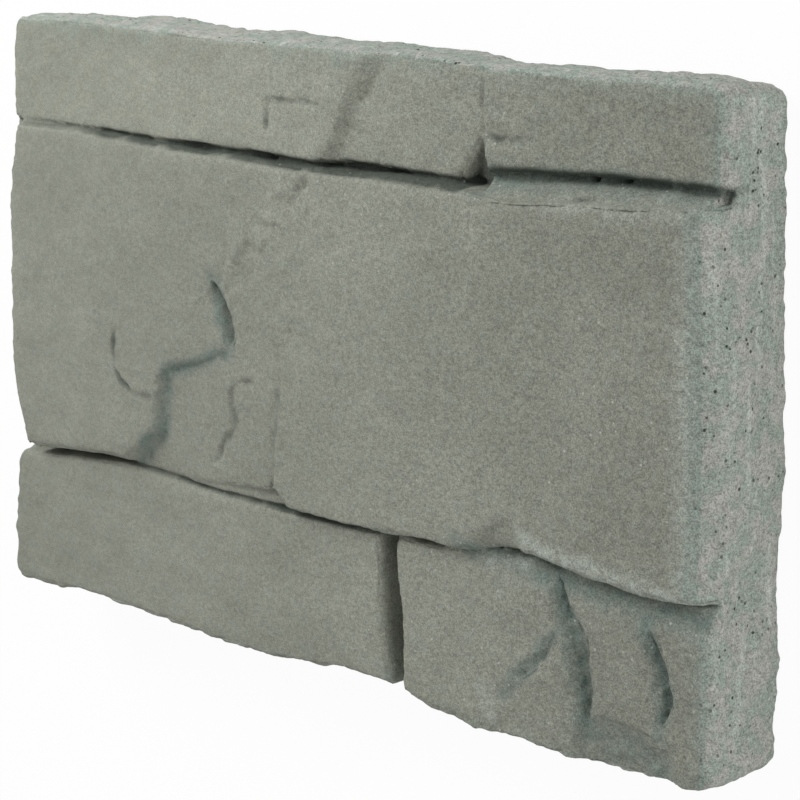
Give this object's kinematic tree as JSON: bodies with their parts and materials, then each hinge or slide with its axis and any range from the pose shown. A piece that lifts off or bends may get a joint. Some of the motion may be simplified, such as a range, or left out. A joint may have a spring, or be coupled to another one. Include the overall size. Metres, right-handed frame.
{
  "type": "manufactured stone ledger panel",
  "caption": "Cast concrete veneer panel with a flat back and a stacked-stone face of uneven courses, wandering joints and cleft cracks, bonded to a wall as cladding.",
  "frame": {"origin": "centre of the bounding box on the flat back face", "axes": "+X along the courses towards the end that the picture shows, +Y from the bottom course to the top course, +Z out of the stone face"},
  "size_m": [0.3054, 0.2043, 0.0365],
  "materials": {
    "cast_stone": "matte sandy cast concrete, warm grey with greenish grey in recesses and along edges"
  },
  "bodies": {
    "root": {"ledger_panel": "cast_stone"}
  },
  "joints": []
}
